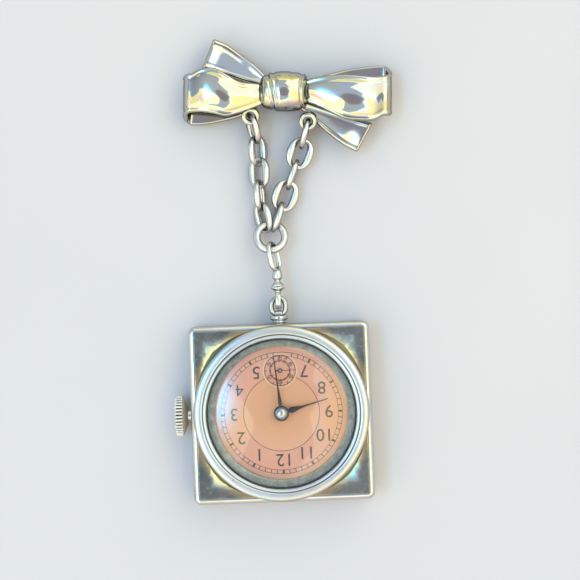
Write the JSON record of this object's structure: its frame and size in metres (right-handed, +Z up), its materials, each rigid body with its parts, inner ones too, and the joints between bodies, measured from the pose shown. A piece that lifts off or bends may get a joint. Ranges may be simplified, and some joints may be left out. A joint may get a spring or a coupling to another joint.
{
  "type": "chatelaine watch pin",
  "caption": "Ribbon bow brooch with two short chains, a ring and a swivel that carry a square pendant watch with a round bezel, lying on its back.",
  "frame": {"origin": "centre of the watch's case back, on the surface that the pin lies on", "axes": "+Z up through the crystal, +Y from the watch towards the bow, +X to the watch's right as it lies"},
  "size_m": [0.0307, 0.0618, 0.0085],
  "materials": {
    "polished_silver": "polished silver-toned metal with fine scratches",
    "brushed_silver": "satin silver-toned metal, slightly warm",
    "chain_metal": "worn silver-toned metal, greyer in the hollows",
    "movement_metal": "plain satin metal",
    "crystal": "clear domed crystal",
    "dial_paint": "salmon dial, satin",
    "blued_steel": "dark blued steel"
  },
  "bodies": {
    "base": {"bow": "polished_silver", "brooch_pin": "chain_metal", "link_left_1": "chain_metal", "link_left_2": "chain_metal", "link_left_3": "chain_metal", "link_left_4": "chain_metal", "link_left_5": "chain_metal", "link_right_1": "chain_metal", "link_right_2": "chain_metal", "link_right_3": "chain_metal", "link_right_4": "chain_metal", "link_right_5": "chain_metal", "ring": "chain_metal", "swivel_loop": "chain_metal", "swivel_eye": "chain_metal", "bail": "polished_silver", "case": "polished_silver", "bezel": "brushed_silver", "crystal": "crystal", "dial": "dial_paint", "movement": "movement_metal"},
    "hour": {"hour_hand": "blued_steel"},
    "minute": {"minute_hand": "blued_steel"},
    "seconds": {"seconds_hand": "blued_steel", "seconds_wheel": "movement_metal"},
    "stem": {"crown_stem": "movement_metal"},
    "crown": {"crown": "polished_silver"}
  },
  "joints": [
    {"name": "minute_turn", "type": "hinge", "parent": "base", "child": "minute", "pos_m": [0, 0, 0.006], "axis": [0, 0, -1], "continuous": true},
    {"name": "hour_turn", "type": "hinge", "parent": "base", "child": "hour", "pos_m": [0, 0, 0.0056], "axis": [0, 0, -1], "continuous": true},
    {"name": "seconds_turn", "type": "hinge", "parent": "base", "child": "seconds", "pos_m": [0, 0.0056, 0.00515], "axis": [0, 0, -1], "continuous": true},
    {"name": "stem_pull", "type": "slide", "parent": "base", "child": "stem", "axis": [-1, 0, 0], "range_m": [0, 0.0009]},
    {"name": "crown_turn", "type": "hinge", "parent": "stem", "child": "crown", "pos_m": [-0.0135, 0, 0.003], "axis": [-1, 0, 0], "continuous": true}
  ],
  "couplings": [
    {"joint": "hour_turn", "follows": "minute_turn", "ratio": 0.083333}
  ]
}
